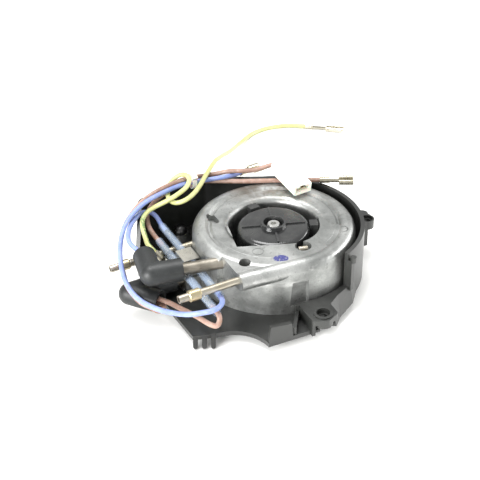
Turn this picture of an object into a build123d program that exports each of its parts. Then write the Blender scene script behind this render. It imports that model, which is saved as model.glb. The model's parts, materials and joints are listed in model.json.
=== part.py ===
from build123d import *
import math
import os

# Flow-through water heater of a hot-drink appliance: a ring-shaped aluminium casting with a
# cast-in heating element and water tube, held in a moulded carrier shell by a screwed cap,
# with its thermal fuses, earth lead and push-on leads.
# Millimetres. +Z is up, the origin is on the ring's axis at the standing surface,
# -Y is the side with the carrier's front lug, and the terminal bay lies on the -X side.

# ---- driving dimensions ----
FLOOR_Z = 4.0            # underside of the carrier's floor plate, held up by its spigot
SPIGOT_T = 1.5            # plate that closes the spigot
FLOOR_T = 2.5
FLOOR_TOP = FLOOR_Z + FLOOR_T
RIM_Z = 34.0             # top of the high rim
LOW_RIM_Z = 14.0         # top of the low rim beside the front lug
WALL_T = 2.2
SHELL_R = 47.6           # outer radius of the carrier round the ring
RING_R = 43.0            # outer radius of the casting
HOLE_R = 24.0            # radius of the casting's centre hole
RING_TOP = 34.0
LUG_TOP = 33.5           # flat terminal lug of the casting
LUG_END = 37.7           # ring axis to the lug's end face
CAP_R = 19.5
CAP_TOP = 32.7
SHEATH_D = 6.3           # heating element sheath
TUBE_D = 4.0             # water tube
TUBE_BORE_D = 2.8
CRIMP_BORE_D = 2.9       # inside of every crimp barrel
WIRE_D = 2.6
SLEEVE_D = 4.2
SLEEVE_BORE_D = 3.4
BOOT_D = 11.8
BOOT_BORE_D = 8.4
SCREW_HOLE_D = 4.2       # clearance for the fixing screws of both lugs

# The terminal bay is laid out square to the lug's end face, which is turned about the ring's axis.
BAY_TURN = 206.5
BAY = Plane.XY.rotated((0, 0, BAY_TURN))   # bay x leaves the end face, bay y runs towards the front

PLATFORM_TOP = 21.5
PLATFORM_END = LUG_END + 14.0
UPPER_Z = 28.9           # axis of the upper sheath and its boot
LOWER_Z = 13.0           # axis of the lower sheath and its boot
INLET_Z = 30.0           # axis of the front water tube
OUTLET_Z = 19.3          # axis of the rear water tube

os.makedirs("parts", exist_ok=True)


def bay(a, w, z):
    """A point from bay coordinates: a out of the end face, w towards the front."""
    return BAY.from_local_coords(Vector(a, w, z))


def arc_point(radius, degrees, z=0.0):
    """A point on a circle about the ring's axis."""
    turn = math.radians(degrees)
    return (radius * math.cos(turn), radius * math.sin(turn), z)


def save(part, name):
    part.label = name
    export_step(part, f"parts/{name}.step")


# ---- carrier shell ----
FRONT_HOLE = (22.0, -53.0)
SIDE_HOLE = (52.0, 19.4)
BAY_OUTLINE = [(-4.0, 47.4), (-38.0, 48.5), (-73.0, 26.0), (-73.0, -3.0), (-42.3, -58.9), (-30.9, -57.4)]
FRONT_TIP = (-5.3, -65.8)
FRONT_STEP = (7.2, -60.4)
POST = (-51.0, 24.5)
STEP_TURN = -41.0        # where the high rim ends
LOW_END_TURN = -79.0     # where the low rim ends
BACK_TURN = 95.0         # where the round rim runs into the bay's back wall
COMB_X = [-41.0, -36.6, -32.2]
MID_WALL_R = SHELL_R - WALL_T / 2

with BuildPart() as carrier_shell:
    with BuildSketch(Plane.XY.offset(FLOOR_Z)):
        Circle(SHELL_R)
        with BuildLine():
            Polyline(*BAY_OUTLINE)
            ThreePointArc(BAY_OUTLINE[-1], (-16.8, -56.6), FRONT_TIP)
            Polyline(FRONT_TIP, FRONT_STEP, (18.3, -55.7), (24.0, -40.0), BAY_OUTLINE[0])
        make_face()
    extrude(amount=FLOOR_T)
    # spigot that locates the carrier from below and carries its weight
    with BuildSketch():
        Circle(32.5)
        Circle(30.0, mode=Mode.SUBTRACT)
    extrude(amount=FLOOR_Z)
    with BuildSketch():
        Circle(32.5)
    extrude(amount=SPIGOT_T)
    # round rim: high from the step round the back, low past the front lug
    for low, high, top in ((STEP_TURN, BACK_TURN, RIM_Z), (LOW_END_TURN, STEP_TURN, LOW_RIM_Z)):
        with BuildSketch(Plane.XY.offset(FLOOR_Z)):
            with BuildLine() as rim_line:
                CenterArc((0, 0), MID_WALL_R, low, high - low)
            trace(rim_line.line, line_width=WALL_T)
        extrude(amount=top - FLOOR_Z)
    # back and left walls of the bay
    with BuildSketch(Plane.XY.offset(FLOOR_Z)):
        with BuildLine() as bay_line:
            bay_run = [(-4.05, 46.32), (-37.7, 47.4), (-71.9, 25.4), (-71.9, -4.0)]
            FilletPolyline(*bay_run, radius=4)
        trace(bay_line.line, line_width=WALL_T)
    extrude(amount=RIM_Z - FLOOR_Z)
    # the left wall's top slopes down towards the front
    with BuildSketch(Plane.YZ.offset(-76)):
        Polygon((24, RIM_Z), (24, RIM_Z + 1), (-8, RIM_Z + 1), (-8, 20), align=None)
    extrude(amount=7, mode=Mode.SUBTRACT)
    # shallow notch in the back wall that clears the cable tie
    with BuildSketch(Plane(origin=(-45.3, 43.0, RIM_Z - 1.2), x_dir=(0.84, 0.54, 0))):
        Rectangle(7, 5)
    extrude(amount=3, mode=Mode.SUBTRACT)
    # end rib of the high rim, with its nub
    with BuildSketch(Plane.XY.offset(LOW_RIM_Z - 2)):
        with Locations(arc_point(47.2, STEP_TURN + 1.4)[:2]):
            Rectangle(5.4, 2.4, rotation=STEP_TURN)
    extrude(amount=18)
    with BuildSketch(Plane.XY.offset(29)):
        with Locations(arc_point(49.6, STEP_TURN + 2)[:2]):
            Circle(1.6)
    extrude(amount=3)
    # front lug: plate, gussets and counterbored boss
    with BuildSketch(Plane.XY.offset(LOW_RIM_Z - 3)):
        with BuildLine():
            FilletPolyline((10.2, -45.3), (16.4, -59.2), (24.4, -59.0), (29.4, -53.0), (24.5, -40.6),
                           radius=2, close=True)
        make_face()
    extrude(amount=3)
    with BuildSketch(Plane.XY.offset(LOW_RIM_Z - 6)):
        with Locations(FRONT_HOLE):
            Circle(4.9)
    extrude(amount=6.6)
    # skirt that leans out from the low rim down to the floor, beside the lug
    with BuildSketch(Plane.XY.offset(FLOOR_Z)):
        Polygon((43.8, -16), (39.3, -32.5), (31.6, -44.0), (29.0, -51), (23, -50), (24, -38),
                (38, -16), align=None)
    with BuildSketch(Plane.XY.offset(LOW_RIM_Z)):
        Polygon((43.9, -16), (37.9, -30.0), (30.6, -38.4), (26.6, -45), (23, -44), (23, -38),
                (38, -16), align=None)
    loft()
    for start, end, top in (((11.2, -45.0), (17.2, -58.0), 12), ((9.9, -45.0), (7.6, -59.6), 11)):
        with BuildSketch(Plane.XY.offset(FLOOR_Z)):
            with BuildLine() as web_line:
                Line(start, end)
            trace(web_line.line, line_width=1.8)
        extrude(amount=top - FLOOR_Z)
    with BuildSketch(Plane.XY.offset(FLOOR_Z)):
        Polygon((16.0, -57.0), (18.3, -55.7), (26, -52), (28.4, -40), (18, -42), align=None)
    extrude(amount=1.5)
    # trapezoid wall at the front tip
    tip_wall = Plane(origin=(*FRONT_TIP, FLOOR_Z), x_dir=(FRONT_STEP[0] - FRONT_TIP[0],
                     FRONT_STEP[1] - FRONT_TIP[1], 0), z_dir=(0.396, -0.918, 0))
    with BuildSketch(tip_wall):
        Polygon((0, 0), (13.6, 0), (12.6, 10.4), (1.4, 11.6), align=None)
    extrude(amount=-2)
    with BuildSketch(tip_wall.offset(-2)):
        Polygon((1.4, 0), (12.6, 0), (12.6, 6.5), (1.4, 6.5), align=None)
    extrude(amount=-1.6)
    # side lug behind the round rim
    with BuildSketch(Plane.XY.offset(17)):
        with Locations(SIDE_HOLE):
            Circle(4.0)
        with Locations((50.0, 24.8)):
            Circle(3.2)
        Polygon((44, 13), (53.4, 15.9), (55.6, 21), (51.4, 27.2), (42, 24), align=None)
        Circle(SHELL_R - 1, mode=Mode.SUBTRACT)
    extrude(amount=5)
    with BuildSketch(Plane.XY.offset(FLOOR_TOP)):
        Polygon((45.5, 13), (52.5, 16), (45.5, 16.5), align=None)
        Circle(SHELL_R - 1, mode=Mode.SUBTRACT)
    extrude(amount=11)
    # clear the round seat of the casting
    with BuildSketch(Plane.XY.offset(FLOOR_TOP)):
        Circle(SHELL_R - WALL_T)
    extrude(amount=RIM_Z, mode=Mode.SUBTRACT)
    # floor post under the domed screw, with its flared root
    with BuildSketch(Plane.XY.offset(FLOOR_TOP)):
        with Locations(POST):
            Circle(8.0)
    with BuildSketch(Plane.XY.offset(13.0)):
        with Locations(POST):
            Circle(4.4)
    loft()
    # comb of three round-ended fingers hanging from the front edge
    for x in COMB_X:
        with BuildSketch(Plane(origin=(x, -57.4, 5.3), x_dir=(1, 0, 0), z_dir=(0, 0.69, -0.72))):
            with Locations((0, 2.6)):
                SlotCenterToCenter(5.2, 2.4, rotation=90)
        extrude(amount=0.9, both=True)
    # seat for the centre screw, and the screw holes
    with BuildSketch(Plane.XY.offset(FLOOR_TOP)):
        Circle(6)
    extrude(amount=8)
    with Locations((0, 0, FLOOR_TOP + 8)):
        Hole(1.75, depth=9)
    with Locations((*POST, 13.0)):
        Hole(1.5, depth=8)
    with Locations((*FRONT_HOLE, LOW_RIM_Z + 0.6)):
        CounterBoreHole(SCREW_HOLE_D / 2, 3.4, 2.6)
    with Locations((*SIDE_HOLE, 22)):
        CounterBoreHole(SCREW_HOLE_D / 2, 3.2, 1.6)
save(carrier_shell.part, "carrier_shell")

# ---- heater casting ----
TUBE_LINE = 32.4         # bay y of the front water tube
REAR_LINE = -21.5        # bay y of the rear water tube
SHEATH_FOOT = bay(LUG_END, 13.4, UPPER_Z)
SHEATH_TURN = 194.0
SHEATH_DIR = Vector(1, 0, 0).rotate(Axis.Z, SHEATH_TURN)
LOWER_LINE = -5.1        # bay y of the lower sheath
LUG_HOLE = (-15.8, -36.0)
EARTH_A = 54.15          # earth screw on its tab, in bay coordinates
EARTH_W = -14.9
EARTH_Z = 18.0
SWELL_ARC = 70.0         # how far the front swell follows the ring
SWELL_LINE = 38.0
SWELL_R = 4.5

with BuildPart() as heater_block:
    with BuildSketch(Plane.XZ):
        with BuildLine():
            Polyline((HOLE_R, FLOOR_TOP), (RING_R + 0.8, FLOOR_TOP), (RING_R, 29.0))
            RadiusArc((RING_R, 29.0), (38.2, RING_TOP), -5.0)
            Polyline((38.2, RING_TOP), (36.0, RING_TOP), (34.6, 32.7), (33.6, 32.7), (32.4, 33.6),
                     (27.4, 33.4))
            RadiusArc((27.4, 33.4), (HOLE_R, 30.0), -3.4)
            Line((HOLE_R, 30.0), (HOLE_R, FLOOR_TOP))
        make_face()
    revolve(axis=Axis.Z)
    # flat lug with its straight end face, closing the front of the centre hole
    with BuildSketch(BAY.offset(24.5)):
        Polygon((LUG_END, 9.3), (LUG_END, 33.5), (2, 38), (-14, 35.5), (-30, 22), (-24, 6), (20, 6),
                align=None)
    extrude(amount=LUG_TOP - 24.5)
    with BuildSketch(Plane.XY.offset(FLOOR_TOP)):
        with BuildLine():
            Polyline((-HOLE_R - 1, -2), (-HOLE_R, -2), (-19.6, -21.8), (6.5, -20.3))
            ThreePointArc((6.5, -20.3), (18.6, -15.2), (HOLE_R, 0))
            Polyline((HOLE_R, 0), (HOLE_R + 6, 0), (HOLE_R + 6, -30), (-HOLE_R - 1, -30), (-HOLE_R - 1, -2))
        make_face()
        Circle(HOLE_R + 1, mode=Mode.INTERSECT)
    extrude(amount=LUG_TOP - FLOOR_TOP)
    with BuildSketch(Plane.XY.offset(FLOOR_TOP)):
        with BuildLine():
            Polyline((-HOLE_R, -2), (-19.6, -21.8), (6.5, -20.3))
            ThreePointArc((6.5, -20.3), (18.6, -15.2), (HOLE_R, 0))
            ThreePointArc((HOLE_R, 0), (0, HOLE_R), (-HOLE_R, -2))
        make_face()
    extrude(amount=RING_TOP, mode=Mode.SUBTRACT)
    # rounded swell of the casting over the water tube, along the lug and round the ring
    swell_foot = bay(LUG_END, TUBE_LINE + 0.8, 29.5)
    swell_bend = bay(0, SWELL_LINE, 30.2)
    with BuildSketch(Plane(origin=swell_foot, z_dir=swell_bend - swell_foot)):
        Circle(SWELL_R)
    extrude(amount=(swell_bend - swell_foot).length)
    with BuildSketch(Plane(origin=(0, 0, 0), x_dir=BAY.y_dir, z_dir=BAY.x_dir)):
        with Locations((SWELL_LINE, 30.2)):
            Circle(SWELL_R)
    revolve(axis=Axis.Z, revolution_arc=SWELL_ARC)
    with Locations(bay(0, SWELL_LINE, 30.2), arc_point(SWELL_LINE, BAY_TURN + 90 + SWELL_ARC, 30.2)):
        Sphere(SWELL_R)
    with BuildSketch(BAY.offset(20)):
        with Locations((LUG_END + 5, 30)):
            Rectangle(10, 30)
    extrude(amount=20, mode=Mode.SUBTRACT)
    # seat block for the fuses and their clip
    with BuildSketch(BAY.offset(FLOOR_TOP)):
        Polygon((30, -13), (PLATFORM_END, -13), (PLATFORM_END, 0.6), (LUG_END - 3, 0.6), (LUG_END - 3, 12),
                (25, 12), align=None)
    extrude(amount=PLATFORM_TOP - FLOOR_TOP)
    with BuildSketch(BAY.offset(FLOOR_TOP)):
        Polygon((26, 0), (LUG_END + 3.2, 0), (LUG_END + 3.2, 17), (30, 24), align=None)
    extrude(amount=PLATFORM_TOP - 1.2 - FLOOR_TOP)
    # earth tab on the seat block's far side
    with BuildSketch(BAY.offset(FLOOR_TOP)):
        with Locations((EARTH_A - 4, EARTH_W)):
            Rectangle(16, 7.2)
    extrude(amount=EARTH_Z - FLOOR_TOP)
    with Locations(bay(EARTH_A, EARTH_W, EARTH_Z)):
        Hole(1.5, depth=8)
    # slot across the seat block's front face
    with BuildSketch(BAY.offset(15.2)):
        with Locations((PLATFORM_END - 4, 0.6)):
            Rectangle(9, 3)
    extrude(amount=1.4, mode=Mode.SUBTRACT)
    # recessed panel of the front wall
    with BuildSketch(BAY.offset(11)):
        with BuildLine():
            FilletPolyline((4, 41.4), (4, 50), (37, 50), (37, 41.4), radius=0.4, close=True)
        make_face()
    extrude(amount=14, mode=Mode.SUBTRACT)
    # blind screw hole, casting windows and ejector marks in the top
    with Locations((*LUG_HOLE, LUG_TOP)):
        Hole(3.0, depth=10)
    with BuildSketch(Plane.XY.offset(RING_TOP - 4)):
        with Locations((-32.0, 5.0)):
            SlotOverall(10, 4.4, rotation=-62)
        with Locations((14.0, -22.5)):
            Circle(4.2)
    extrude(amount=5, mode=Mode.SUBTRACT)
    for x, y, top in ((-9.0, -26.5, LUG_TOP), (35.0, -9.5, RING_TOP)):
        with BuildSketch(Plane.XY.offset(top - 0.25)):
            with Locations((x, y)):
                Circle(3.0)
                Circle(2.6, mode=Mode.SUBTRACT)
        extrude(amount=1, mode=Mode.SUBTRACT)
    # cast-in runs of the tube and the element
    for centre, direction, radius, depth in (
            (bay(LUG_END, TUBE_LINE, INLET_Z), BAY.x_dir * -1, TUBE_D / 2, 22),
            (bay(LUG_END, REAR_LINE, OUTLET_Z), BAY.x_dir * -1, TUBE_D / 2, 22),
            (SHEATH_FOOT, SHEATH_DIR * -1, SHEATH_D / 2, 16),
            (bay(PLATFORM_END, LOWER_LINE, LOWER_Z), BAY.x_dir * -1, SHEATH_D / 2, 22)):
        with BuildSketch(Plane(origin=centre - direction * 6, z_dir=direction)):
            Circle(radius)
        extrude(amount=depth + 6, mode=Mode.SUBTRACT)
save(heater_block.part, "heater_block")

# ---- clamp cap over the ring's centre, and its screw ----
HUB_R = 7.0
with BuildPart() as clamp_cap:
    with BuildSketch(Plane.XZ):
        with BuildLine():
            Polyline((1.9, 14.5), (14.0, 14.5), (14.0, FLOOR_TOP), (CAP_R, FLOOR_TOP), (CAP_R - 0.3, 29.5))
            RadiusArc((CAP_R - 0.3, 29.5), (16.6, 32.0), -2.8)
            Polyline((16.6, 32.0), (HUB_R, 32.0), (HUB_R - 0.4, CAP_TOP + 1.2), (5.4, CAP_TOP + 1.2),
                     (5.0, 30.2),
                     (1.9, 30.2), (1.9, 14.5))
        make_face()
    revolve(axis=Axis.Z)
    with BuildSketch(Plane.XY.offset(30)):
        for turn in (6, 97, 186, 276):
            with Locations(Rotation(0, 0, turn)):
                with Locations((11.6, 0)):
                    Rectangle(10.4, 1.1)
    extrude(amount=CAP_TOP - 30)
    # snap tabs that reach over the ring's lip
    with BuildSketch(Plane.XY.offset(25)):
        for turn in (119, 2, 240):
            with Locations(Rotation(0, 0, turn)):
                with Locations((20.6, 0)):
                    Rectangle(3.6, 5.6)
        Circle(22.4, mode=Mode.INTERSECT)
    extrude(amount=5)
    with BuildSketch(Plane.XY.offset(30)):
        for turn in (119, 2):
            with Locations(Rotation(0, 0, turn)):
                with Locations((21.2, 0)):
                    Rectangle(4.6, 5.6)
        Circle(23.4, mode=Mode.INTERSECT)
    extrude(amount=2.4)
save(clamp_cap.part, "clamp_cap")

with BuildPart() as centre_screw:
    with BuildSketch(Plane.XZ):
        Polygon((0, 8), (1.2, 8), (1.75, 9.5), (1.75, 30.2), (3.6, 30.2), (3.6, 32.2), (3.0, 33.0),
                (0, 33.0),
                align=None)
    revolve(axis=Axis.Z)
    with BuildSketch(Plane.XY.offset(33.0)):
        RegularPolygon(1.6, 6)
    extrude(amount=-1.6, mode=Mode.SUBTRACT)
save(centre_screw.part, "centre_screw")

POST_AXIS = Plane(origin=(*POST, 0), x_dir=(1, 0, 0), z_dir=(0, -1, 0))
with BuildPart() as post_screw:
    with BuildSketch(POST_AXIS):
        with BuildLine():
            Polyline((0, 6), (1.5, 6), (1.5, 13.0), (3.8, 13.0), (3.8, 14.2))
            RadiusArc((3.8, 14.2), (0.6, 17.0), -3.6)
            Polyline((0.6, 17.0), (0, 17.0), (0, 6))
        make_face()
    revolve(axis=Axis((*POST, 0), (0, 0, 1)))
save(post_screw.part, "post_screw")

# ---- heating element ends: sheath, insulator, pin, push-on terminal and rubber boot ----
BOOT_R = BOOT_D / 2
BOOT_GRIP = 6.0          # how far a boot grips its sheath
BARREL = 5.0             # length of the crimp barrel inside each boot


def element_end(name, foot, turn, bare, leg, elbow_turn, leg_out, barrel_r):
    """One cold end of the element: a sheath from foot, and an elbow boot pushed over it."""
    direction = Vector(1, 0, 0).rotate(Axis.Z, turn)
    out = Vector(1, 0, 0).rotate(Axis.Z, elbow_turn)
    mouth = foot + direction * bare
    end = mouth + direction * BOOT_GRIP
    corner = mouth + direction * leg
    tip = corner + out * leg_out
    with BuildPart() as sheath:
        with BuildSketch(Plane(origin=foot - direction * 15, z_dir=direction)):
            Circle(SHEATH_D / 2)
        extrude(amount=15 + bare + BOOT_GRIP)
        with BuildSketch(Plane(origin=end, z_dir=direction * -1)):
            Circle(2.2)
        extrude(amount=4, mode=Mode.SUBTRACT)
    save(sheath.part, f"{name}_sheath")
    with BuildPart() as insulator:
        with BuildSketch(Plane(origin=end - direction * 4, z_dir=direction)):
            Circle(2.2)
            Circle(1.0, mode=Mode.SUBTRACT)
        extrude(amount=5)
    save(insulator.part, f"{name}_insulator")
    with BuildPart() as pin:
        with BuildSketch(Plane(origin=end - direction * 4, z_dir=direction)):
            Circle(1.0)
        extrude(amount=9)
    save(pin.part, f"{name}_pin")
    with BuildPart() as terminal:
        with BuildSketch(Plane(origin=end + direction * 1.6, z_dir=direction)):
            Circle(1.7)
            Circle(1.0, mode=Mode.SUBTRACT)
        extrude(amount=5)
        with BuildSketch(Plane(origin=corner, z_dir=out)):
            Circle(barrel_r)
        extrude(amount=BARREL)
        with BuildSketch(Plane(origin=end + direction * 5, z_dir=direction)):
            Rectangle(1.0, 2.4)
        extrude(amount=leg - BOOT_GRIP - 5 + 0.5)
    save(terminal.part, f"{name}_terminal")
    with BuildPart() as boot:
        for start, way, length in ((mouth, direction, leg), (tip, out * -1, leg_out)):
            with BuildSketch(Plane(origin=start, z_dir=way)):
                Circle(BOOT_R)
            extrude(amount=length)
        with Locations(corner):
            Sphere(BOOT_R)
        for start, way, length in ((end, direction, leg - BOOT_GRIP), (tip, out * -1, leg_out)):
            with BuildSketch(Plane(origin=start, z_dir=way)):
                Circle(BOOT_BORE_D / 2)
            extrude(amount=length, mode=Mode.SUBTRACT)
        with Locations(corner):
            Sphere(BOOT_BORE_D / 2, mode=Mode.SUBTRACT)
        with BuildSketch(Plane(origin=mouth, z_dir=direction)):
            Circle(SHEATH_D / 2)
        extrude(amount=BOOT_GRIP, mode=Mode.SUBTRACT)
    save(boot.part, f"{name}_boot")


element_end("upper", SHEATH_FOOT, SHEATH_TURN, 19.9, 15.6, 106.0, 17.0, 1.7)
LOWER_FOOT = bay(PLATFORM_END, LOWER_LINE, LOWER_Z)
element_end("lower", LOWER_FOOT, BAY_TURN, 5.0, 24.0, -25.0, 17.5, 2.75)


# ---- water tube ends, each with a swaged collar ----
def water_end(name, line, z, length, collar_start, collar_length):
    with BuildPart() as tube:
        with BuildSketch(Plane(origin=bay(LUG_END - 20, line, z), z_dir=BAY.x_dir)):
            Circle(TUBE_D / 2)
            Circle(TUBE_BORE_D / 2, mode=Mode.SUBTRACT)
        extrude(amount=20 + length)
    save(tube.part, f"{name}_tube")
    with BuildPart() as collar:
        with BuildSketch(Plane(origin=bay(LUG_END + collar_start, line, z), z_dir=BAY.x_dir)):
            Circle(2.9)
            Circle(TUBE_D / 2, mode=Mode.SUBTRACT)
        extrude(amount=collar_length)
        chamfer(collar.edges().filter_by(GeomType.CIRCLE).group_by(SortBy.RADIUS)[-1], 0.4)
    save(collar.part, f"{name}_collar")


water_end("inlet", TUBE_LINE, INLET_Z, 31.8, 20.5, 6.2)
water_end("outlet", REAR_LINE, OUTLET_Z, 47.0, 36.4, 5.0)

# brass-tinted stretch of tube seen in the round casting window
with BuildPart() as window_tube:
    with BuildSketch(Plane(origin=(11.6, -22.9, 31.6), z_dir=(0.98, 0.2, 0))):
        Circle(1.5)
    extrude(amount=4.6)
save(window_tube.part, "window_tube")

# ---- thermal fuses in their silicone sleeves, under a spring clip ----
SLEEVES = (("rear", 9.5, -39.6, 31.8, PLATFORM_TOP + SLEEVE_D / 2),
           ("front", 16.7, -27.1, 42.8, PLATFORM_TOP + SLEEVE_D / 2))
SPLICE_IN = 6.0          # wire inside the sleeve before its splice


def fused_sleeve(name, offset_a, low_w, high_w, z):
    """A sleeve over a thermal fuse that is spliced to a wire at each end."""
    a = LUG_END + offset_a
    along = BAY.y_dir
    start, end = bay(a, low_w, z), bay(a, high_w, z)
    with BuildPart() as sleeve:
        with BuildSketch(Plane(origin=start, z_dir=along)):
            Circle(SLEEVE_D / 2)
            Circle(SLEEVE_BORE_D / 2, mode=Mode.SUBTRACT)
        extrude(amount=high_w - low_w)
    save(sleeve.part, f"{name}_sleeve")
    with BuildPart() as fuse:
        with BuildSketch(Plane(origin=bay(a, -2, z), z_dir=along)):
            Circle(1.5)
        extrude(amount=10)
        with BuildSketch(Plane(origin=start + along * (SPLICE_IN + 7), z_dir=along)):
            Circle(0.5)
        extrude(amount=high_w - low_w - 2 * (SPLICE_IN + 7))
    save(fuse.part, f"{name}_fuse")
    for side, foot, way in (("in", start, along), ("out", end, along * -1)):
        with BuildPart() as splice:
            with BuildSketch(Plane(origin=foot + way * SPLICE_IN, z_dir=way)):
                Circle(1.45)
            extrude(amount=7)
        save(splice.part, f"{name}_splice_{side}")


for sleeve_data in SLEEVES:
    fused_sleeve(*sleeve_data)

CLIP_T = 0.4
CLIP_A = LUG_END + 9.7   # middle of the clip's top sheet
with BuildPart() as fuse_clip:
    with BuildSketch(Plane(origin=bay(CLIP_A, -11.0, 0), x_dir=BAY.x_dir, z_dir=BAY.y_dir)):
        with BuildLine() as clip_line:
            clip_z = -(PLATFORM_TOP + SLEEVE_D + CLIP_T / 2 + 0.05)
            Polyline((-3.7, -(PLATFORM_TOP + 0.3)), (-3.7, clip_z), (4.55, clip_z), (4.55, -10.5),
                     (6.2, -8.2))
        trace(clip_line.line, line_width=CLIP_T)
    extrude(amount=11.2)
    with BuildSketch(Plane(origin=bay(PLATFORM_END - 3, LOWER_LINE, LOWER_Z), z_dir=BAY.x_dir)):
        Circle(SHEATH_D / 2 + 0.3)
    extrude(amount=10, mode=Mode.SUBTRACT)
save(fuse_clip.part, "fuse_clip")

# ---- leads: one smooth tube each, through points chosen along its route ----
ROUTES = {
    "blue_lead": [
        (-30.73, -44.15, 23.6), (-28.05, -49.52, 23.6), (-26.7, -56.9, 25.8), (-28.5, -63.9, 27.7),
        (-32.3, -66.9, 28.0), (-36.9, -67.0, 27.3), (-41.81, -65.92, 25.63), (-47.93, -61.61, 22.65),
        (-58.37, -54.08, 19.5), (-69.24, -46.33, 20.27), (-75.97, -35.75, 23.43), (-78.8, -23.92, 25.77),
        (-80.11, -12.96, 27.71), (-79.9, -3.3, 29.7), (-78.4, 3.4, 32.3), (-74.8, 9.9, 34.7),
        (-69.1, 15.7, 37.6), (-63.5, 20.1, 38.8), (-56.6, 26.0, 39.1), (-49.2, 32.6, 38.6),
        (-42.1, 39.3, 36.5), (-34.4, 42.1, 35.8), (-26.9, 41.0, 37.8), (-20.2, 45.5, 36.4),
        (-14.0, 51.3, 35.3)],
    "blue_jumper": [
        (-57.23, 9.01, 23.6), (-60.58, 15.72, 23.6), (-62.8, 18.8, 27.0), (-66.2, 19.0, 30.1),
        (-70.2, 16.1, 31.9), (-73.7, 10.4, 31.6), (-76.0, 4.1, 30.6), (-76.6, -3.7, 30.1),
        (-75.0, -11.1, 29.4), (-67.3, -19.62, 28.9), (-63.59, -32.54, 28.9)],
    "brown_jumper": [
        (-32.22, -57.3, 23.6), (-31.01, -59.71, 23.85), (-28.07, -65.62, 23.6), (-29.25, -66.82, 18.59),
        (-33.16, -64.09, 17.55), (-39.35, -57.64, 17.73), (-44.35, -52.91, 17.02), (-48.97, -47.98, 16.06),
        (-56.37, -39.9, 14.68), (-69.88, -33.6, 14.4)],
    "fuse_lead": [
        (-58.1, -5.39, 23.6), (-61.45, 1.32, 23.6), (-63.7, 5.3, 23.7), (-66.6, 11.3, 24.4),
        (-68.1, 17.0, 25.5), (-68.0, 20.9, 27.9), (-66.0, 23.5, 31.1), (-62.7, 25.6, 33.9),
        (-58.2, 31.4, 34.6), (-52.5, 36.6, 36.1), (-45.0, 40.6, 35.4), (-36.7, 44.1, 33.9),
        (-27.1, 42.9, 34.3), (-17.0, 40.5, 35.2), (-7.0, 40.0, 35.4), (3.1, 39.9, 35.4),
        (13.1, 39.5, 35.7), (22.5, 38.8, 35.9), (31.4, 38.3, 35.9)],
    "brown_lead": [
        (-69.88, -33.6, 11.6), (-64.53, -36.09, 11.25), (-55.55, -40.28, 11.88), (-58.69, -46.98, 12.48),
        (-62.7, -47.1, 15.8), (-67.92, -43.35, 15.79), (-72.22, -39.4, 18.5), (-75.72, -33.57, 20.31),
        (-77.6, -25.7, 21.6), (-79.7, -19.0, 23.7), (-80.71, -10.36, 24.92), (-80.59, -2.36, 27.41),
        (-79.28, 6.34, 29.62), (-76.4, 12.11, 32.33), (-71.95, 17.33, 35.91), (-66.1, 21.7, 38.9),
        (-59.6, 27.1, 39.9), (-52.8, 32.9, 40.0), (-45.6, 38.8, 39.2), (-38.3, 46.8, 35.7),
        (-30.4, 47.2, 36.5), (-22.5, 44.8, 39.7), (-14.6, 44.3, 39.5), (-7.4, 45.5, 39.2),
        (3.7, 48.2, 42.15), (6.76, 42.94, 41.3)],
    "earth_lead": [
        (-59.73, -10.98, 20.79), (-63.48, -9.36, 24.47), (-66.3, -6.1, 25.6), (-67.4, -1.7, 26.1),
        (-68.9, 3.0, 27.3), (-69.7, 6.6, 30.0), (-69.7, 11.1, 30.9), (-67.6, 14.7, 32.7),
        (-64.2, 17.7, 33.5), (-60.0, 18.3, 35.4), (-54.9, 17.6, 38.5), (-50.3, 19.2, 40.8),
        (-45.6, 24.4, 42.0), (-44.3, 29.7, 43.4), (-46.0, 34.0, 43.9), (-49.6, 36.5, 43.0),
        (-53.5, 36.3, 40.7), (-56.3, 33.5, 38.1), (-57.1, 27.2, 36.1), (-55.1, 20.1, 35.8),
        (-51.5, 17.1, 36.3), (-47.2, 16.7, 37.8), (-43.0, 19.5, 39.4), (-39.5, 28.4, 39.1),
        (-35.9, 42.7, 38.65), (-31.2, 57.0, 39.2), (-29.2, 71.0, 33.2), (-27.0, 86.0, 26.8),
        (-24.4, 101.0, 20.0), (-21.6, 118.0, 12.8), (-18.6, 135.0, 6.4), (-14.6, 149.0, 2.4),
        (-8.6, 160.6, 1.6), (0.4, 168.0, 1.4), (11.0, 171.6, 1.5), (22.4, 171.2, 1.8), (33.0, 169.0, 1.8)],
}


def lead(name, points, diameter):
    """A wire tube of straight runs joined by arcs as large as the runs allow."""
    points = [Vector(*point) for point in points]
    runs = [b - a for a, b in zip(points, points[1:])]
    turns = [a.get_angle(b) for a, b in zip(runs, runs[1:])]
    radii = [0.45 * min(a.length, b.length) / math.tan(math.radians(turn / 2))
             for a, b, turn in zip(runs, runs[1:], turns)]
    with BuildPart() as wire:
        with BuildLine():
            path = FilletPolyline(*points, radius=radii)
        with BuildSketch(Plane(origin=path @ 0, z_dir=path % 0)):
            Circle(diameter / 2)
        sweep(path=path)
    section = math.pi * diameter ** 2 / 4
    print(f"{name}: length {path.length:.0f}, volume ratio {wire.part.volume / section / path.length:.3f},"
          f" turns to {max(turns):.0f}, radii {min(radii):.1f} to {max(radii):.1f},"
          f" runs {min(r.length for r in runs):.1f} to {max(r.length for r in runs):.1f}")
    save(wire.part, name)


for lead_name, route in ROUTES.items():
    lead(lead_name, route, WIRE_D)


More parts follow.
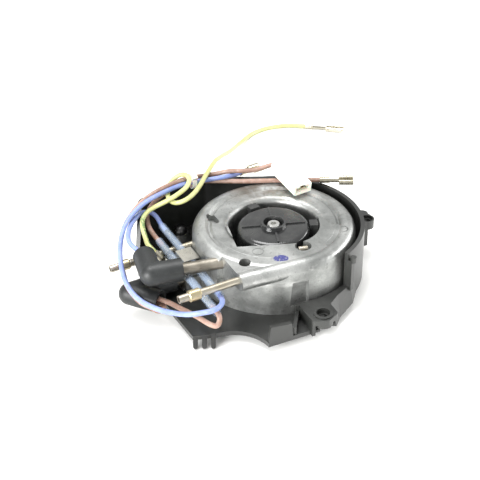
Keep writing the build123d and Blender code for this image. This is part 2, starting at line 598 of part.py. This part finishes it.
# ---- push-on receptacles: crimp barrel, neck and rolled box ----
def receptacle(name, route, crimp=5.5, neck=3.0, box=8.0, width=6.8):
    """A receptacle whose crimp barrel grips the last run of a lead."""
    end = Vector(*route[-1])
    direction = (end - Vector(*route[-2])).normalized()
    start = end - direction * (crimp - 1.5)
    plane = Plane(origin=start, z_dir=direction)
    across = Plane(origin=start, x_dir=direction, z_dir=direction.cross(Vector(0, 0, 1)).cross(direction))
    with BuildPart() as body:
        with BuildSketch(plane):
            Circle(1.75)
            Circle(CRIMP_BORE_D / 2, mode=Mode.SUBTRACT)
        extrude(amount=crimp - 1.5)
        with BuildSketch(plane.offset(crimp - 1.5)):
            Circle(1.75)
        extrude(amount=1.5)
        with BuildSketch(across.offset(-0.8)):
            with Locations((crimp + neck / 2, 0)):
                Rectangle(neck + 1.4, 2.4)
        extrude(amount=0.8)
        with BuildSketch(across.offset(-1.2)):
            with Locations((crimp + neck + box / 2, 0)):
                Rectangle(box, width)
        extrude(amount=0.8)
        for side in (-1, 1):
            with BuildSketch(plane.offset(crimp + neck)):
                with Locations(plane.to_local_coords(across.from_local_coords(
                        Vector(crimp + neck, side * (width / 2 - 1.1), 0.1)))):
                    Circle(1.3)
                    Circle(0.6, mode=Mode.SUBTRACT)
            extrude(amount=box)
    save(body.part, name)


receptacle("blue_receptacle", ROUTES["blue_lead"])
receptacle("brown_receptacle", ROUTES["fuse_lead"], neck=5.0)
receptacle("earth_receptacle", ROUTES["earth_lead"], neck=9.0, box=12.0)

# ---- nylon housing with its receptacle, lying across the leads on the ring ----
HOUSING_FRONT = Vector(17.0, 25.0, 38.4)
HOUSING_DIR = Vector(0.491, -0.860, -0.139)
HOUSING_L = 24.0
HOUSING = Plane(origin=HOUSING_FRONT, x_dir=(0.868, 0.496, 0), z_dir=HOUSING_DIR)
with BuildPart() as connector_housing:
    with BuildSketch(HOUSING):
        RectangleRounded(11.0, 6.2, 0.8)
    extrude(amount=-HOUSING_L)
    with BuildSketch(HOUSING):
        Rectangle(8.8, 3.0)
        with Locations((0, 1.4)):
            Rectangle(3.6, 2.2)
    extrude(amount=-(HOUSING_L - 8), mode=Mode.SUBTRACT)
    with BuildSketch(HOUSING.offset(-HOUSING_L)):
        Circle(2.0)
    extrude(amount=10, mode=Mode.SUBTRACT)
    with BuildSketch(HOUSING.offset(-9)):
        with Locations((0, 3.1)):
            Rectangle(4, 1.2)
    extrude(amount=-6)
save(connector_housing.part, "connector_housing")

with BuildPart() as housed_receptacle:
    with BuildSketch(HOUSING.offset(-1.6)):
        with Locations((0, -0.9)):
            Rectangle(6.8, 0.8)
        for side in (-1, 1):
            with Locations((side * 2.6, 0.1)):
                Circle(1.2)
                Circle(0.6, mode=Mode.SUBTRACT)
    extrude(amount=-8)
    with BuildSketch(HOUSING.offset(-9.6)):
        with Locations((0, -0.6)):
            Rectangle(2.4, 0.8)
    extrude(amount=-6.4)
    with BuildSketch(HOUSING.offset(-15.6)):
        Circle(1.45)
    extrude(amount=-5.2)
save(housed_receptacle.part, "housed_receptacle")

# ---- cable tie round the bundle ----
TIE_CENTRE = (-43.6, 39.6, 36.8)
TIE = Plane(origin=TIE_CENTRE, x_dir=(-0.42, 0.91, 0), z_dir=(0.91, 0.42, 0.0))
TIE_R = 3.6
with BuildPart() as cable_tie:
    with BuildSketch(TIE):
        Circle(TIE_R + 0.7)
        Circle(TIE_R, mode=Mode.SUBTRACT)
    extrude(amount=1.25, both=True)
    with BuildSketch(TIE):
        with Locations((-2.8, 3.9)):
            Rectangle(3.4, 2.6, rotation=33)
        Circle(TIE_R + 0.3, mode=Mode.SUBTRACT)
    extrude(amount=1.6, both=True)
save(cable_tie.part, "cable_tie")

# ---- earth terminal and its screw on the casting's tab ----
EARTH_TAB = bay(EARTH_A, EARTH_W, EARTH_Z)
EARTH_CRIMP_DIR = Vector(-0.683, 0.294, 0.669).normalized()
EARTH_CRIMP_END = Vector(-62.39, -9.83, 23.4)
EARTH_CRIMP_L = 4.9
with BuildPart() as earth_terminal:
    with BuildSketch(Plane(origin=EARTH_TAB)):
        Circle(3.1)
        Circle(1.6, mode=Mode.SUBTRACT)
    extrude(amount=0.8)
    with BuildSketch(Plane(origin=EARTH_CRIMP_END, z_dir=EARTH_CRIMP_DIR * -1)):
        Circle(1.75)
        Circle(CRIMP_BORE_D / 2, mode=Mode.SUBTRACT)
    extrude(amount=EARTH_CRIMP_L - 1)
    crimp_foot = EARTH_CRIMP_END - EARTH_CRIMP_DIR * (EARTH_CRIMP_L - 1)
    with BuildSketch(Plane(origin=crimp_foot, z_dir=EARTH_CRIMP_DIR * -1)):
        Circle(1.75)
    extrude(amount=1)
    shank_start = EARTH_CRIMP_END - EARTH_CRIMP_DIR * (EARTH_CRIMP_L - 0.4)
    shank_end = EARTH_TAB + Vector(-2.57, -0.38, 0.3)
    shank = shank_end - shank_start
    with BuildSketch(Plane(origin=shank_start, x_dir=shank.cross(Vector(0, 0, 1)), z_dir=shank)):
        Rectangle(2.4, 0.8)
    extrude(amount=shank.length)
save(earth_terminal.part, "earth_terminal")

with BuildPart() as earth_screw:
    with BuildSketch(Plane(origin=EARTH_TAB + Vector(0, 0, 0.8))):
        Circle(2.4)
    extrude(amount=1.9)
    with BuildSketch(Plane(origin=EARTH_TAB + Vector(0, 0, -8))):
        Circle(1.5)
    extrude(amount=9)
save(earth_screw.part, "earth_screw")
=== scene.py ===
"""Looks for the ring-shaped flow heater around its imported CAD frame.

Materials, soft leads, stage, lights and camera. Places and sizes are in metres, apart from the leads'
routes and the camera's lens, which are in millimetres.
"""
import json
import math

import bpy
from mathutils import Matrix, Vector


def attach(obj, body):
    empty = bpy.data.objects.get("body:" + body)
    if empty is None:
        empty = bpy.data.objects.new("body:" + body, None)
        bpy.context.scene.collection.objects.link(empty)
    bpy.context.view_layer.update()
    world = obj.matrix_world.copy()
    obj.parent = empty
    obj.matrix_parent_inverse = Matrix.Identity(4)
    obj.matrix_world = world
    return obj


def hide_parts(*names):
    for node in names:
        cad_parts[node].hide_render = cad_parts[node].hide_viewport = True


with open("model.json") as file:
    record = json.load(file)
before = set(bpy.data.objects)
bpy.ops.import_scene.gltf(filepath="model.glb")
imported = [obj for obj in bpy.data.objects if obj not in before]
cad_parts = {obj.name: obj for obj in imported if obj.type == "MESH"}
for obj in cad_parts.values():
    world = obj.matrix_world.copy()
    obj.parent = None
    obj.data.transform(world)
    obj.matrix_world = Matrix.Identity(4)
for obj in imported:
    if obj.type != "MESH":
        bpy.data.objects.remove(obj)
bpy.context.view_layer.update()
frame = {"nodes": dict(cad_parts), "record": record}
nodes = frame["nodes"]
scene = bpy.context.scene

MM_IN_M = 1000
WIRE_D = 0.0026          # over the wires' covers
FLOOR_HALF = 3.0         # half a side of the table top

# places of marks on the casting
STAIN_AT = (-0.004, 0.045, 0.034)
DAB_AT = (0.0022, -0.033, 0.0335)
LOW_SHADE_Z = (0.005, 0.019)  # the painted shade low on the wall fades out between these heights

# turns of the earth wire's stripe about the wire: where it starts, and how far it goes round
STRIPE_START = 0.15
STRIPE_TURN = 0.45

# light, world and camera
LIGHT_AIM = (0, 0, 0.02)
SIDE_LIGHT_AIM = (0, -0.01, 0.02)
WORLD_COLOR = (1.0, 1.0, 0.99, 1)
WORLD_STRENGTH = 0.85
LENS_MM = 71.97
SENSOR_MM = 36
CLIP_START = 0.01
CAMERA_AT = (-0.01787, -0.42233, 0.30779)
CAMERA_ELEVATION = math.radians(34)
CAMERA_ROLL = math.radians(-1.5)

# ranges of a noise's value: the middle of it, for soft patches, and nearly all of it
PATCHES = (0.34, 0.68)
WIDE = (0.3, 0.7)

# the colour sockets of a Mix node
MIX_INPUTS = (0, 6, 7)   # factor, first colour, second colour
MIX_RESULT = 2


# ---- node helpers ----
class Maker:
    """A small builder for one procedural material."""

    def __init__(self, name):
        self.material = bpy.data.materials.new(name)
        self.material.use_nodes = True
        self.tree = self.material.node_tree
        self.shader = self.tree.nodes["Principled BSDF"]
        coords = self.tree.nodes.new("ShaderNodeTexCoord")
        self.place = coords.outputs["Object"]
        self.uv = coords.outputs["UV"]

    def feed(self, socket, value):
        """Sets a socket to a number or a colour, or links a node's output to it."""
        if isinstance(value, (int, float)):
            socket.default_value = value
        elif isinstance(value, tuple):
            socket.default_value = (*value, 1.0)
        else:
            self.tree.links.new(value, socket)

    def set(self, **values):
        for key, value in values.items():
            self.shader.inputs[key.replace("_", " ")].default_value = value

    def mapped(self, scale, location=(0, 0, 0)):
        """The place on the object, scaled and then moved."""
        node = self.tree.nodes.new("ShaderNodeMapping")
        node.inputs["Location"].default_value = location
        node.inputs["Scale"].default_value = scale
        self.feed(node.inputs["Vector"], self.place)
        return node.outputs["Vector"]

    def noise(self, scale, detail=3.0, rough=0.55, stretch=None, distortion=0.0):
        node = self.tree.nodes.new("ShaderNodeTexNoise")
        node.inputs["Scale"].default_value = scale
        node.inputs["Detail"].default_value = detail
        node.inputs["Roughness"].default_value = rough
        node.inputs["Distortion"].default_value = distortion
        self.feed(node.inputs["Vector"], self.mapped(stretch) if stretch else self.place)
        return node.outputs["Fac"]

    def spread(self, value, low, high, out_low=0.0, out_high=1.0):
        """Turns low..high into out_low..out_high, with a soft start and end."""
        node = self.tree.nodes.new("ShaderNodeMapRange")
        node.interpolation_type = "SMOOTHSTEP"
        ends = {"From Min": low, "From Max": high, "To Min": out_low, "To Max": out_high}
        for key, number in ends.items():
            node.inputs[key].default_value = number
        self.feed(node.inputs["Value"], value)
        return node.outputs["Result"]

    def math(self, operation, a, b=0.0):
        node = self.tree.nodes.new("ShaderNodeMath")
        node.operation = operation
        self.feed(node.inputs[0], a)
        self.feed(node.inputs[1], b)
        return node.outputs[0]

    def mix(self, factor, a, b):
        """Colour a where the factor is 0 and colour b where it is 1."""
        node = self.tree.nodes.new("ShaderNodeMix")
        node.data_type = "RGBA"
        for index, value in zip(MIX_INPUTS, (factor, a, b)):
            self.feed(node.inputs[index], value)
        return node.outputs[MIX_RESULT]

    def near(self, centre, inner, outer, squeeze):
        """1 inside the inner radius of a spot, 0 beyond the outer one."""
        offset = [-c * s for c, s in zip(centre, squeeze)]
        length = self.tree.nodes.new("ShaderNodeVectorMath")
        length.operation = "LENGTH"
        self.feed(length.inputs[0], self.mapped(squeeze, offset))
        return self.spread(length.outputs["Value"], inner, outer, out_low=1.0, out_high=0.0)

    def axis(self, index, vector=None):
        node = self.tree.nodes.new("ShaderNodeSeparateXYZ")
        self.feed(node.inputs[0], vector or self.place)
        return node.outputs[index]

    def bump(self, height, strength, distance, below=None):
        node = self.tree.nodes.new("ShaderNodeBump")
        node.inputs["Strength"].default_value = strength
        node.inputs["Distance"].default_value = distance
        self.feed(node.inputs["Height"], height)
        if below:
            self.feed(node.inputs["Normal"], below)
        return node.outputs["Normal"]

    def finish(self, color, rough, normal=None, metallic=None):
        looks = {"Base Color": color, "Roughness": rough, "Normal": normal, "Metallic": metallic}
        for key, value in looks.items():
            if value is not None:
                self.feed(self.shader.inputs[key], value)
        return self.material


# ---- materials ----
def cast_aluminium():
    """Dull die-cast aluminium with flow marks, a heat stain, painted shade low on the wall and a dab of
    marking ink.
    """
    m = Maker("cast_aluminium")
    cloud = m.noise(48, detail=5, rough=0.60)
    flow = m.noise(26, detail=4, rough=0.6, stretch=(1, 1, 2.6), distortion=1.4)
    grain = m.noise(1100, detail=3, rough=0.7)
    speck = m.noise(380, detail=3, rough=0.6)
    color = m.mix(m.spread(cloud, *PATCHES), (0.24, 0.248, 0.24), (0.50, 0.508, 0.495))
    color = m.mix(m.spread(flow, 0.52, 0.70, out_high=0.55), color, (0.70, 0.705, 0.69))
    color = m.mix(m.spread(speck, 0.56, 0.70, out_high=0.50), color, (0.15, 0.15, 0.145))
    color = m.mix(m.spread(grain, *WIDE, out_high=0.22), color, (0.20, 0.20, 0.195))
    # heat stain on the far side
    stain = m.near(STAIN_AT, inner=0.012, outer=0.034, squeeze=(1, 1, 0.6))
    stain = m.math("MULTIPLY", stain, m.spread(m.noise(70, detail=4, rough=0.6), 0.40, 0.60))
    color = m.mix(m.math("MULTIPLY", stain, 0.62), color, (0.12, 0.085, 0.055))
    # painted shade low on the wall, all the way round: darker towards the bottom, in patches
    low = m.spread(m.axis(2), *LOW_SHADE_Z, out_low=0.5, out_high=0.0)
    low_shade = m.math("MULTIPLY", low, m.spread(m.noise(60), 0.38, 0.60))
    # painted shade: the foot of the wall is mixed towards near-black
    color = m.mix(low_shade, color, (0.045, 0.045, 0.043))
    # dab of marking ink
    dab = m.near(DAB_AT, inner=0.0034, outer=0.0042, squeeze=(1.0, 1.25, 0.35))
    dab = m.math("MULTIPLY", dab, m.spread(m.noise(900, detail=2), 0.32, 0.44))
    ink = m.mix(m.noise(1300, detail=2), (0.012, 0.012, 0.085), (0.06, 0.065, 0.24))
    color = m.mix(dab, color, ink)
    rough = m.spread(flow, 0.40, 0.70, out_low=0.46, out_high=0.32)
    rough = m.math("ADD", rough, m.spread(grain, *WIDE, out_low=-0.03, out_high=0.08))
    rough = m.math("MAXIMUM", rough, m.math("MULTIPLY", dab, 0.6))
    normal = m.bump(cloud, strength=0.34, distance=0.0014)
    normal = m.bump(speck, strength=0.16, distance=0.00030, below=normal)
    normal = m.bump(grain, strength=0.22, distance=0.00016, below=normal)
    metallic = m.math("SUBTRACT", 0.90, m.math("MULTIPLY", dab, 0.84))
    return m.finish(color, rough, normal, metallic)


def carrier_plastic():
    """Black moulded plastic with upright scuffs."""
    m = Maker("carrier_plastic")
    grain = m.noise(2200, detail=2, rough=0.6)
    cloud = m.noise(45, detail=4, rough=0.6)
    scuff = m.noise(160, detail=3, rough=0.7, stretch=(1, 1, 6))
    color = m.mix(m.spread(cloud, 0.35, 0.7), (0.010, 0.0105, 0.0098), (0.020, 0.021, 0.019))
    color = m.mix(m.spread(scuff, 0.62, 0.76, out_high=0.45), color, (0.062, 0.063, 0.058))
    rough = m.spread(cloud, *WIDE, out_low=0.30, out_high=0.44)
    normal = m.bump(grain, strength=0.16, distance=0.00006)
    normal = m.bump(cloud, strength=0.08, distance=0.0005, below=normal)
    m.set(Specular_IOR_Level=0.75)
    return m.finish(color, rough, normal)


def cap_plastic():
    """Glossy black plastic with a little dust."""
    m = Maker("cap_plastic")
    cloud = m.noise(90, detail=4, rough=0.6)
    fine = m.noise(1500, detail=2, rough=0.6)
    dust = m.noise(500, detail=3, rough=0.7)
    color = m.mix(m.spread(cloud, 0.35, 0.7), (0.014, 0.0145, 0.015), (0.030, 0.031, 0.030))
    color = m.mix(m.spread(dust, 0.60, 0.75, out_high=0.30), color, (0.14, 0.14, 0.135))
    rough = m.spread(cloud, *WIDE, out_low=0.16, out_high=0.30)
    normal = m.bump(cloud, strength=0.18, distance=0.0008)
    normal = m.bump(fine, strength=0.06, distance=0.00006, below=normal)
    m.set(Coat_Weight=0.35, Coat_Roughness=0.12)
    return m.finish(color, rough, normal)


def metal(name, dark, light, rough, grain=700, spots=0.0, spot_color=None, metallic=1.0):
    """Bare metal between two tones; spots is how strong its tarnish is."""
    m = Maker(name)
    cloud = m.noise(90, detail=3, rough=0.5)
    fine = m.noise(grain, detail=3, rough=0.65)
    color = m.mix(m.spread(cloud, *PATCHES), dark, light)
    if spots:
        mark = m.noise(330, detail=3, rough=0.6)
        color = m.mix(m.spread(mark, 0.56, 0.70, out_high=spots), color, spot_color)
    return m.finish(color, m.spread(fine, *WIDE, *rough), metallic=metallic)


def boot_rubber():
    """Black rubber with a thin grey bloom."""
    m = Maker("boot_rubber")
    cloud = m.noise(110, detail=4, rough=0.6)
    fine = m.noise(1600, detail=3, rough=0.6)
    bloom = m.noise(300, detail=4, rough=0.7)
    color = m.mix(m.spread(cloud, *PATCHES), (0.008, 0.0092, 0.0095), (0.016, 0.018, 0.018))
    color = m.mix(m.spread(bloom, 0.52, 0.74, out_high=0.10), color, (0.0884, 0.0932, 0.0932))
    rough = m.spread(fine, *WIDE, out_low=0.42, out_high=0.52)
    normal = m.bump(fine, strength=0.22, distance=0.00010)
    normal = m.bump(cloud, strength=0.12, distance=0.0006, below=normal)
    return m.finish(color, rough, normal)


def wire_cover(m, color, rough):
    """The soft, finely textured surface that every wire cover has."""
    fine = m.noise(1900, detail=2, rough=0.6)
    normal = m.bump(fine, strength=0.16, distance=0.00008)
    m.set(Subsurface_Weight=0.12, Subsurface_Scale=0.001)
    return m.finish(color, m.spread(fine, *WIDE, *rough), normal)


def plain_insulation(name, base, deep, worn):
    """A wire cover of one colour with faint blotches and handling dust."""
    m = Maker(name)
    cloud = m.noise(140, detail=4, rough=0.6)
    dust = m.noise(420, detail=4, rough=0.7)
    color = m.mix(m.spread(cloud, *PATCHES), deep, base)
    color = m.mix(m.spread(dust, 0.50, 0.74, out_high=0.55), color, worn)
    return wire_cover(m, color, rough=(0.38, 0.52))


def earth_insulation():
    """Pale yellow cover whose green stripe goes round to the far side after the terminal and fades."""
    m = Maker("earth_insulation")
    cloud = m.noise(140, detail=4, rough=0.6)
    color = m.mix(m.spread(cloud, *PATCHES), (0.43, 0.435, 0.175), (0.51, 0.515, 0.235))
    along = m.axis(0, m.uv)
    around = m.axis(1, m.uv)
    turn = m.math("ADD", around, m.spread(along, 0.06, 0.24, out_high=STRIPE_TURN))
    turn = m.math("FRACT", m.math("ADD", turn, STRIPE_START))
    offset = m.math("ABSOLUTE", m.math("SUBTRACT", turn, 0.5))
    stripe = m.spread(offset, 0.13, 0.17, out_low=1.0, out_high=0.0)
    mottle = m.spread(m.noise(850, detail=3, rough=0.6), 0.38, 0.56, out_low=0.35)
    fade = m.spread(along, 0.13, 0.20, out_low=1.0, out_high=0.08)
    ink = m.math("MULTIPLY", stripe, m.math("MULTIPLY", mottle, fade))
    color = m.mix(ink, color, (0.12, 0.20, 0.07))
    return wire_cover(m, color, rough=(0.36, 0.50))


def sleeve_silicone():
    """Thin see-through silicone."""
    m = Maker("sleeve_silicone")
    cloud = m.noise(160, detail=3, rough=0.5)
    color = m.mix(m.spread(cloud, *PATCHES), (0.40, 0.50, 0.66), (0.50, 0.60, 0.74))
    m.set(Alpha=0.22)
    return m.finish(color, m.spread(cloud, *WIDE, out_low=0.22, out_high=0.28))


def pale_solid(name, base, deep, translucency):
    """Off-white nylon or ceramic."""
    m = Maker(name)
    cloud = m.noise(120, detail=4, rough=0.6)
    fine = m.noise(1500, detail=3, rough=0.6)
    color = m.mix(m.spread(cloud, *WIDE), deep, base)
    rough = m.spread(fine, *WIDE, out_low=0.34, out_high=0.46)
    normal = m.bump(fine, strength=0.10, distance=0.00006)
    m.set(Subsurface_Weight=translucency, Subsurface_Scale=0.0016)
    return m.finish(color, rough, normal)


# dark and light tones, range of roughness, and tarnish
METALS = {
    "zinc_steel": dict(dark=(0.56, 0.56, 0.54), light=(0.76, 0.76, 0.74), rough=(0.26, 0.30)),
    "blackened_steel": dict(dark=(0.035, 0.035, 0.036), light=(0.09, 0.09, 0.09), rough=(0.30, 0.42)),
    "sheath_steel": dict(dark=(0.15, 0.135, 0.11), light=(0.32, 0.295, 0.25), rough=(0.40, 0.48), grain=420,
                         spots=0.5, spot_color=(0.10, 0.085, 0.065), metallic=0.8),
    "stainless": dict(dark=(0.38, 0.345, 0.27), light=(0.54, 0.50, 0.42), rough=(0.34, 0.37), grain=300,
                      spots=0.18, spot_color=(0.38, 0.29, 0.15)),
    "brass": dict(dark=(0.44, 0.37, 0.21), light=(0.58, 0.51, 0.35), rough=(0.32, 0.35),
                  spots=0.12, spot_color=(0.34, 0.22, 0.08)),
    "fuse_metal": dict(dark=(0.40, 0.39, 0.35), light=(0.62, 0.60, 0.54), rough=(0.27, 0.30)),
    "tin_brass": dict(dark=(0.42, 0.39, 0.30), light=(0.66, 0.62, 0.51), rough=(0.22, 0.34),
                      spots=0.30, spot_color=(0.18, 0.14, 0.09)),
}
INSULATIONS = {
    "blue_insulation": dict(base=(0.22, 0.28, 0.53), deep=(0.175, 0.225, 0.46), worn=(0.32, 0.37, 0.57)),
    "brown_insulation": dict(base=(0.33, 0.215, 0.170), deep=(0.235, 0.142, 0.108), worn=(0.55, 0.41, 0.34)),
}
PALE_SOLIDS = {
    "insulator": dict(base=(0.70, 0.67, 0.60), deep=(0.52, 0.49, 0.43), translucency=0.05),
    "nylon": dict(base=(0.80, 0.79, 0.71), deep=(0.72, 0.71, 0.62), translucency=0.25),
    "tie_nylon": dict(base=(0.82, 0.82, 0.76), deep=(0.66, 0.66, 0.60), translucency=0.25),
}
MATERIALS = {
    "cast_aluminium": cast_aluminium(),
    "carrier_plastic": carrier_plastic(),
    "cap_plastic": cap_plastic(),
    "boot_rubber": boot_rubber(),
    "sleeve_silicone": sleeve_silicone(),
    "earth_insulation": earth_insulation(),
}
for make, looks in ((metal, METALS), (plain_insulation, INSULATIONS), (pale_solid, PALE_SOLIDS)):
    for slot_name, look in looks.items():
        MATERIALS[slot_name] = make(slot_name, **look)

slots = {row["node"]: row["material_slot"] for row in frame["record"]["subparts"]}
for name, node in nodes.items():
    node.data.materials.clear()
    node.data.materials.append(MATERIALS[slots[name]])

# ---- routes of the leads, the same points as in part.py, in millimetres ----
ROUTES = {
    "blue_lead": [
        (-30.73, -44.15, 23.6), (-28.05, -49.52, 23.6), (-26.7, -56.9, 25.8), (-28.5, -63.9, 27.7),
        (-32.3, -66.9, 28.0), (-36.9, -67.0, 27.3), (-41.81, -65.92, 25.63), (-47.93, -61.61, 22.65),
        (-58.37, -54.08, 19.5), (-69.24, -46.33, 20.27), (-75.97, -35.75, 23.43), (-78.8, -23.92, 25.77),
        (-80.11, -12.96, 27.71), (-79.9, -3.3, 29.7), (-78.4, 3.4, 32.3), (-74.8, 9.9, 34.7),
        (-69.1, 15.7, 37.6), (-63.5, 20.1, 38.8), (-56.6, 26.0, 39.1), (-49.2, 32.6, 38.6),
        (-42.1, 39.3, 36.5), (-34.4, 42.1, 35.8), (-26.9, 41.0, 37.8), (-20.2, 45.5, 36.4),
        (-14.0, 51.3, 35.3)],
    "blue_jumper": [
        (-57.23, 9.01, 23.6), (-60.58, 15.72, 23.6), (-62.8, 18.8, 27.0), (-66.2, 19.0, 30.1),
        (-70.2, 16.1, 31.9), (-73.7, 10.4, 31.6), (-76.0, 4.1, 30.6), (-76.6, -3.7, 30.1),
        (-75.0, -11.1, 29.4), (-67.3, -19.62, 28.9), (-63.59, -32.54, 28.9)],
    "brown_jumper": [
        (-32.22, -57.3, 23.6), (-31.01, -59.71, 23.85), (-28.07, -65.62, 23.6), (-29.25, -66.82, 18.59),
        (-33.16, -64.09, 17.55), (-39.35, -57.64, 17.73), (-44.35, -52.91, 17.02), (-48.97, -47.98, 16.06),
        (-56.37, -39.9, 14.68), (-69.88, -33.6, 14.4)],
    "fuse_lead": [
        (-58.1, -5.39, 23.6), (-61.45, 1.32, 23.6), (-63.7, 5.3, 23.7), (-66.6, 11.3, 24.4),
        (-68.1, 17.0, 25.5), (-68.0, 20.9, 27.9), (-66.0, 23.5, 31.1), (-62.7, 25.6, 33.9),
        (-58.2, 31.4, 34.6), (-52.5, 36.6, 36.1), (-45.0, 40.6, 35.4), (-36.7, 44.1, 33.9),
        (-27.1, 42.9, 34.3), (-17.0, 40.5, 35.2), (-7.0, 40.0, 35.4), (3.1, 39.9, 35.4),
        (13.1, 39.5, 35.7), (22.5, 38.8, 35.9), (31.4, 38.3, 35.9)],
    "brown_lead": [
        (-69.88, -33.6, 11.6), (-64.53, -36.09, 11.25), (-55.55, -40.28, 11.88), (-58.69, -46.98, 12.48),
        (-62.7, -47.1, 15.8), (-67.92, -43.35, 15.79), (-72.22, -39.4, 18.5), (-75.72, -33.57, 20.31),
        (-77.6, -25.7, 21.6), (-79.7, -19.0, 23.7), (-80.71, -10.36, 24.92), (-80.59, -2.36, 27.41),
        (-79.28, 6.34, 29.62), (-76.4, 12.11, 32.33), (-71.95, 17.33, 35.91), (-66.1, 21.7, 38.9),
        (-59.6, 27.1, 39.9), (-52.8, 32.9, 40.0), (-45.6, 38.8, 39.2), (-38.3, 46.8, 35.7),
        (-30.4, 47.2, 36.5), (-22.5, 44.8, 39.7), (-14.6, 44.3, 39.5), (-7.4, 45.5, 39.2),
        (3.7, 48.2, 42.15), (6.76, 42.94, 41.3)],
    "earth_lead": [
        (-59.73, -10.98, 20.79), (-63.48, -9.36, 24.47), (-66.3, -6.1, 25.6), (-67.4, -1.7, 26.1),
        (-68.9, 3.0, 27.3), (-69.7, 6.6, 30.0), (-69.7, 11.1, 30.9), (-67.6, 14.7, 32.7),
        (-64.2, 17.7, 33.5), (-60.0, 18.3, 35.4), (-54.9, 17.6, 38.5), (-50.3, 19.2, 40.8),
        (-45.6, 24.4, 42.0), (-44.3, 29.7, 43.4), (-46.0, 34.0, 43.9), (-49.6, 36.5, 43.0),
        (-53.5, 36.3, 40.7), (-56.3, 33.5, 38.1), (-57.1, 27.2, 36.1), (-55.1, 20.1, 35.8),
        (-51.5, 17.1, 36.3), (-47.2, 16.7, 37.8), (-43.0, 19.5, 39.4), (-39.5, 28.4, 39.1),
        (-35.9, 42.7, 38.65), (-31.2, 57.0, 39.2), (-29.2, 71.0, 33.2), (-27.0, 86.0, 26.8),
        (-24.4, 101.0, 20.0), (-21.6, 118.0, 12.8), (-18.6, 135.0, 6.4), (-14.6, 149.0, 2.4),
        (-8.6, 160.6, 1.6), (0.4, 168.0, 1.4), (11.0, 171.6, 1.5), (22.4, 171.2, 1.8), (33.0, 169.0, 1.8)],
}

# each lead's record slot, true length, what its far end is, and the CAD pieces it carries
LEADS = {
    "blue_lead": ("blue_insulation", 0.208, "connector", ["blue_receptacle", "cable_tie"]),
    "blue_jumper": ("blue_insulation", 0.075, "object", []),
    "fuse_lead": ("brown_insulation", 0.139, "connector", ["brown_receptacle"]),
    "brown_lead": ("brown_insulation", 0.196, "connector", ["connector_housing", "housed_receptacle"]),
    "brown_jumper": ("brown_insulation", 0.066, "object", []),
    "earth_lead": ("earth_insulation", 0.309, "connector", ["earth_receptacle"]),
}


def wire(name, points, slot_name):
    """A lead as one smooth NURBS tube, its route given in millimetres."""
    curve = bpy.data.curves.new(name, "CURVE")
    curve.dimensions = "3D"
    curve.bevel_depth = WIRE_D / 2
    curve.bevel_resolution = 6
    curve.resolution_u = 8
    curve.use_fill_caps = True
    spline = curve.splines.new("NURBS")
    spline.points.add(len(points) - 1)
    for point, (x, y, z) in zip(spline.points, points):
        point.co = (x / MM_IN_M, y / MM_IN_M, z / MM_IN_M, 1)
    spline.order_u = 3
    spline.use_endpoint_u = True
    lead = bpy.data.objects.new(name, curve)
    scene.collection.objects.link(lead)
    curve.materials.append(MATERIALS[slot_name])
    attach(lead, "root")
    return lead


for name, (slot_name, length, far_end, riders) in LEADS.items():
    lead = wire(name + "_soft", ROUTES[name], slot_name)
    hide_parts(name)

# ---- the other CAD pieces are shaded smoothly by the normals they come with ----
for name, node in nodes.items():
    if name not in LEADS:
        faces = node.data.polygons
        faces.foreach_set("use_smooth", [True] * len(faces))

# ---- stage ----
corners = [(x * FLOOR_HALF, y * FLOOR_HALF, 0) for x, y in ((-1, -1), (1, -1), (1, 1), (-1, 1))]
floor_mesh = bpy.data.meshes.new("floor")
floor_mesh.from_pydata(corners, [], [(0, 1, 2, 3)])
floor = bpy.data.objects.new("floor", floor_mesh)
scene.collection.objects.link(floor)
paper = Maker("paper")
paper_color = paper.mix(paper.noise(60, detail=4, rough=0.6), (0.88, 0.88, 0.86), (0.92, 0.92, 0.905))
floor_mesh.materials.append(paper.finish(paper_color, 0.9))


def area_light(name, place, aim, size, power):
    """A white rectangular light at a place, turned towards the aim."""
    data = bpy.data.lights.new(name, "AREA")
    data.shape = "RECTANGLE"
    data.size, data.size_y = size
    data.energy = power
    light = bpy.data.objects.new(name, data)
    scene.collection.objects.link(light)
    light.location = place
    toward = Vector(aim) - Vector(place)
    light.rotation_euler = toward.to_track_quat("-Z", "Y").to_euler()


area_light("key", place=(-0.15, 0.12, 0.85), aim=LIGHT_AIM, size=(0.6, 0.45), power=8.0)
area_light("front", place=(-0.50, -0.55, 0.26), aim=LIGHT_AIM, size=(0.5, 0.30), power=10.0)
area_light("right", place=(0.55, 0.10, 0.16), aim=SIDE_LIGHT_AIM, size=(0.5, 0.22), power=3.0)

world = bpy.data.worlds.new("studio")
scene.world = world
world.use_nodes = True
background = world.node_tree.nodes["Background"]
background.inputs["Color"].default_value = WORLD_COLOR
background.inputs["Strength"].default_value = WORLD_STRENGTH
scene.view_settings.view_transform = "Standard"

# ---- camera ----
camera_data = bpy.data.cameras.new("camera")
camera_data.lens = LENS_MM
camera_data.sensor_width = SENSOR_MM
camera_data.clip_start = CLIP_START
camera = bpy.data.objects.new("camera", camera_data)
scene.collection.objects.link(camera)
tilt = Matrix.Rotation(math.pi / 2 - CAMERA_ELEVATION, 4, "X")
roll = Matrix.Rotation(CAMERA_ROLL, 4, "Z")
camera.matrix_world = Matrix.Translation(CAMERA_AT) @ tilt @ roll
scene.camera = camera
